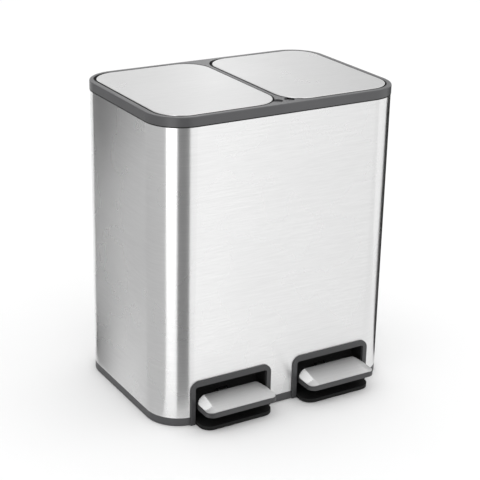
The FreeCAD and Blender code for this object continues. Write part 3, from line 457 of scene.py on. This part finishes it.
for side in ("left", "right"):
    low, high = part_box("pedal_screws_" + side)
    first_screw = (low.x + head_radius, (low.y + high.y) / 2, low.z)
    to_next = (high.x - low.x - 2 * head_radius, 0, 0)
    screws = row_of("cross_screws_" + side, screw, first_screw, to_next, 2, zinc_plate)
    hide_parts("pedal_screws_" + side)
    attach(screws, "pedal_" + side)


# ---- Push rods and their channels
# Plated wire, hooked at both ends, with push-on rings.
# A thin black channel against the back wall keeps the bucket clear of each.

dress(zinc_plate, "push_rod_left", "push_rod_right")
dress(spring_steel, "rod_clips_left", "rod_clips_right")
dress(core_plastic, "rod_channel_left", "rod_channel_right")


# ---- Buckets
# Tapered black moulded buckets that stand on the deck of the base.
# Each lifts out by a moulded bail that lies on its rim.

bucket_plastic = moulded_plastic("bucket_plastic", (0.045, 0.045, 0.047), 0.5, grain_size=1300.0,
                                 grain_depth=0.00005)
dress(bucket_plastic, "bucket_left", "bucket_right")
handle_plastic = moulded_plastic("handle_plastic", (0.055, 0.055, 0.058), 0.45)
dress(handle_plastic, "bucket_handle_left", "bucket_handle_right")


# ---- Floor and light
# A pale paper floor under an even white surround, with one large soft light above.
# They light the plastic and the floor; the steel takes most of its shading from the grey cards.

floor_half = 6.0
floor_mesh = bpy.data.meshes.new("floor")
floor_mesh.from_pydata([(-floor_half, -floor_half, 0), (floor_half, -floor_half, 0),
                        (floor_half, floor_half, 0), (-floor_half, floor_half, 0)], [], [(0, 1, 2, 3)])
floor = bpy.data.objects.new("floor", floor_mesh)
bpy.context.scene.collection.objects.link(floor)
floor_paper = bpy.data.materials.new("floor_paper")
floor_paper.use_nodes = True
paper = floor_paper.node_tree.nodes["Principled BSDF"]
paper.inputs["Base Color"].default_value = (0.9, 0.9, 0.9, 1)
paper.inputs["Roughness"].default_value = 0.8
paper.inputs["Specular IOR Level"].default_value = 0.0
floor_mesh.materials.append(floor_paper)

studio = bpy.data.worlds.new("studio")
studio.use_nodes = True
studio.node_tree.nodes["Background"].inputs["Color"].default_value = (1, 1, 1, 1)
studio.node_tree.nodes["Background"].inputs["Strength"].default_value = 1.1
bpy.context.scene.world = studio
bpy.context.scene.view_settings.view_transform = "Standard"

softbox = bpy.data.lights.new("top_softbox", "AREA")
softbox.shape = "SQUARE"
softbox.size = 2.2
softbox.energy = 8
softbox_stand = bpy.data.objects.new("top_softbox", softbox)
softbox_stand.location = (0.2, -0.4, 2.6)
downward = Vector((0, 0, 0.3)) - softbox_stand.location
softbox_stand.rotation_euler = downward.to_track_quat("-Z", "Y").to_euler()
bpy.context.scene.collection.objects.link(softbox_stand)


# ---- Grey cards
# Tall cards stand round the bin and low ones lie on the floor. They show only in its gloss.
# The grey of each row blends from stop to stop, so the steel shades softly.

def mirrored_cards(name, strip):
    """A row of cards: strip lists the (near corner, far corner, grey) at each of their joints."""
    mesh = bpy.data.meshes.new(name)
    corners = [corner for near, far, grey in strip for corner in (near, far)]
    cards = [(2 * k, 2 * k + 2, 2 * k + 3, 2 * k + 1) for k in range(len(strip) - 1)]
    mesh.from_pydata(corners, [], cards)
    painted = mesh.attributes.new("grey", "FLOAT", "POINT")
    painted.data.foreach_set("value", [grey for near, far, grey in strip for corner in (near, far)])
    row = bpy.data.objects.new(name, mesh)
    bpy.context.scene.collection.objects.link(row)
    row.visible_camera = False
    row.visible_diffuse = False
    row.visible_shadow = False
    paint = bpy.data.materials.new(name)
    paint.use_nodes = True
    tree = paint.node_tree
    tree.nodes.remove(tree.nodes["Principled BSDF"])
    glow = tree.nodes.new("ShaderNodeEmission")
    greys = tree.nodes.new("ShaderNodeAttribute")
    greys.attribute_name = "grey"
    tree.links.new(greys.outputs["Fac"], glow.inputs["Strength"])
    tree.links.new(glow.outputs["Emission"], tree.nodes["Material Output"].inputs["Surface"])
    mesh.materials.append(paint)


card_lift = 0.002


def standing_cards(name, top, *stops):
    """Cards that stand on the floor: each stop is (x, y, grey)."""
    mirrored_cards(name, [((x, y, card_lift), (x, y, top), grey) for x, y, grey in stops])


def floor_cards(name, *stops):
    """Cards on the floor: each stop is (near x, near y, far x, far y, grey)."""
    mirrored_cards(name, [((near_x, near_y, card_lift), (far_x, far_y, card_lift), grey)
                          for near_x, near_y, far_x, far_y, grey in stops])


# what the left side mirrors: mid grey, paler in its middle, darker toward the rear edge
left_x = -0.80
left_stops = ((-0.36, 0.60), (-0.10, 0.60), (0.72, 0.56), (0.88, 0.60), (0.93, 0.80), (1.01, 0.78),
              (1.08, 0.44), (1.13, 0.16), (1.25, 0.06), (1.90, 0.06))
standing_cards("left_cards", 2.0, *[(left_x, y, grey) for y, grey in left_stops])
beside_left = -0.22
left_floor_stops = ((-0.10, -0.36, 0.60), (-0.085, -0.10, 0.60), (-0.062, 0.90, 0.58), (-0.058, 1.08, 0.66),
                    (-0.022, 1.14, 0.76), (0.049, 1.26, 0.76), (0.091, 1.33, 0.44), (0.12, 1.38, 0.2),
                    (0.16, 1.50, 0.08), (0.20, 1.90, 0.05))
floor_cards("left_floor", *[(beside_left, near_y, left_x, far_y, grey)
                            for near_y, far_y, grey in left_floor_stops])

# what the rounded corner mirrors: a bright strip, then a dark one
standing_cards("corner_light", 2.2, (left_x, -0.36, 2.2), (left_x, -0.95, 2.2))
standing_cards("corner_flag", 2.5, (-0.71, -0.92, 0.24), (-0.09, -0.92, 0.24))
floor_cards("corner_floor", (-0.211, -0.16, -0.71, -0.92, 0.26), (-0.157, -0.19, -0.09, -0.92, 0.26))

# what the front mirrors: a touch darker to the right
front_y = -1.5
front_stops = ((0.50, 1.20), (0.66, 1.18), (0.86, 1.07), (1.08, 1.04), (1.25, 0.97), (1.8, 0.90))
standing_cards("front_cards", 2.2, *[(x, front_y, grey) for x, grey in front_stops])
before_front = -0.20
front_floor_stops = ((-0.13, 0.50, 1.14), (-0.11, 0.66, 1.12), (0.0, 0.86, 1.02), (0.1, 1.08, 1.0),
                     (0.225, 1.25, 0.94), (0.5, 1.8, 0.88))
floor_cards("front_floor", *[(near_x, before_front, far_x, front_y, grey)
                             for near_x, far_x, grey in front_floor_stops])

# what the right-hand corner mirrors: a black card, which draws the dark line down it
standing_cards("right_flag", 0.55, (1.0, -0.08, 0.02), (1.0, 1.2, 0.02))
floor_cards("right_floor", (0.24, -0.08, 1.0, -0.12, 0.02), (0.24, 0.20, 1.0, 1.2, 0.02))

# what the lids mirror: a pale patch behind the bar between them, over cards that lean outward
back_y = 2.0
back_bottom = 0.3
back_join = 1.1
back_top = 2.7
join_spread = 1.03
top_spread = 1.45
low_stops = ((0.3, 1.0), (0.72, 1.04), (0.86, 1.25), (1.02, 2.1), (1.15, 1.9), (1.3, 1.4), (1.46, 1.2),
             (1.7, 0.95), (2.2, 0.8))
low_strip = [((x, back_y, back_bottom), (join_spread * x, back_y, back_join), grey) for x, grey in low_stops]
mirrored_cards("back_cards_low", low_strip)
high_stops = ((0.3, 0.96), (0.72, 0.98), (0.86, 1.0), (1.1, 1.02), (1.3, 0.92), (1.5, 0.84), (1.8, 0.7),
              (2.2, 0.6))
high_strip = [((join_spread * x, back_y, back_join), (top_spread * x, back_y, back_top), grey)
              for x, grey in high_stops]
mirrored_cards("back_cards_high", high_strip)


# ---- Camera
# It looks down on the left front corner with a long lens, from about 2.2 m away.
# Distances are in heights of the bin, and the turns are those of the line of sight.

bin_height = 0.486
middle_back = 0.02075
away, aside, lower = (4.4318, 0.0074, 0.0364)
yaw, pitch, roll = (math.radians(turn) for turn in (-31.1185, 21.5937, 1.2166))
toward = Vector((math.sin(yaw) * math.cos(pitch), -math.cos(yaw) * math.cos(pitch), math.sin(pitch)))
level = (-toward).cross(Vector((0, 0, 1))).normalized()
upright = level.cross(-toward)
to_right = level * math.cos(roll) + upright * math.sin(roll)
to_top = upright * math.cos(roll) - level * math.sin(roll)
aim = Vector((0, middle_back, bin_height / 2))
lens_place = aim + (toward * away + to_right * aside - to_top * lower) * bin_height
sensor_width = 36.0
focal_pixels = 1352.236
picture_pixels = 480.0
view = bpy.data.cameras.new("camera")
view.sensor_width = sensor_width
view.lens = sensor_width * focal_pixels / picture_pixels
camera = bpy.data.objects.new("camera", view)
facing = Matrix((to_right, to_top, toward)).transposed().to_4x4()
camera.matrix_world = Matrix.Translation(lens_place) @ facing
bpy.context.scene.collection.objects.link(camera)
bpy.context.scene.camera = camera
